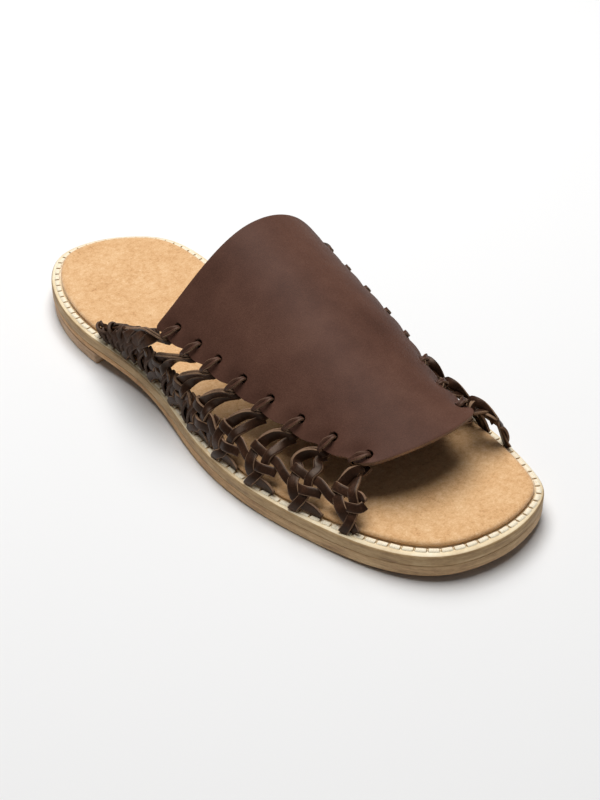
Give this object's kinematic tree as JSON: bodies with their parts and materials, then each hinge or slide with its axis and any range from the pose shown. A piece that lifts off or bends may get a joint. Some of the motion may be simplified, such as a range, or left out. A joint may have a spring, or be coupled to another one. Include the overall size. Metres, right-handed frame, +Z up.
{
  "type": "slide sandal",
  "caption": "Open-toe slide sandal: a curved leather vamp laced at both sides to a woven thong lattice on a flat stitched leather sole.",
  "frame": {"origin": "centre of the bounding box, on the floor under the sole", "axes": "+Z up; the toe points to -Y and the heel to +Y; -X is the lateral (outer) side of this right shoe"},
  "size_m": [0.0982, 0.2654, 0.0762],
  "materials": {
    "outsole": "brown stacked leather with a burnished edge",
    "heel_lift": "stacked leather heel block, tan-brown edge",
    "midsole": "pale natural leather, matte edge",
    "insole": "tan suede, matte",
    "vamp": "dark brown grained leather, soft sheen",
    "plait_lateral": "dark brown leather thongs with paler cut edges",
    "plait_medial": "dark brown leather thongs with paler cut edges"
  },
  "bodies": {
    "root": {"outsole": "outsole", "heel_lift": "heel_lift", "midsole": "midsole", "insole": "insole", "vamp": "vamp", "plait_lateral": "plait_lateral", "plait_medial": "plait_medial"}
  },
  "joints": []
}
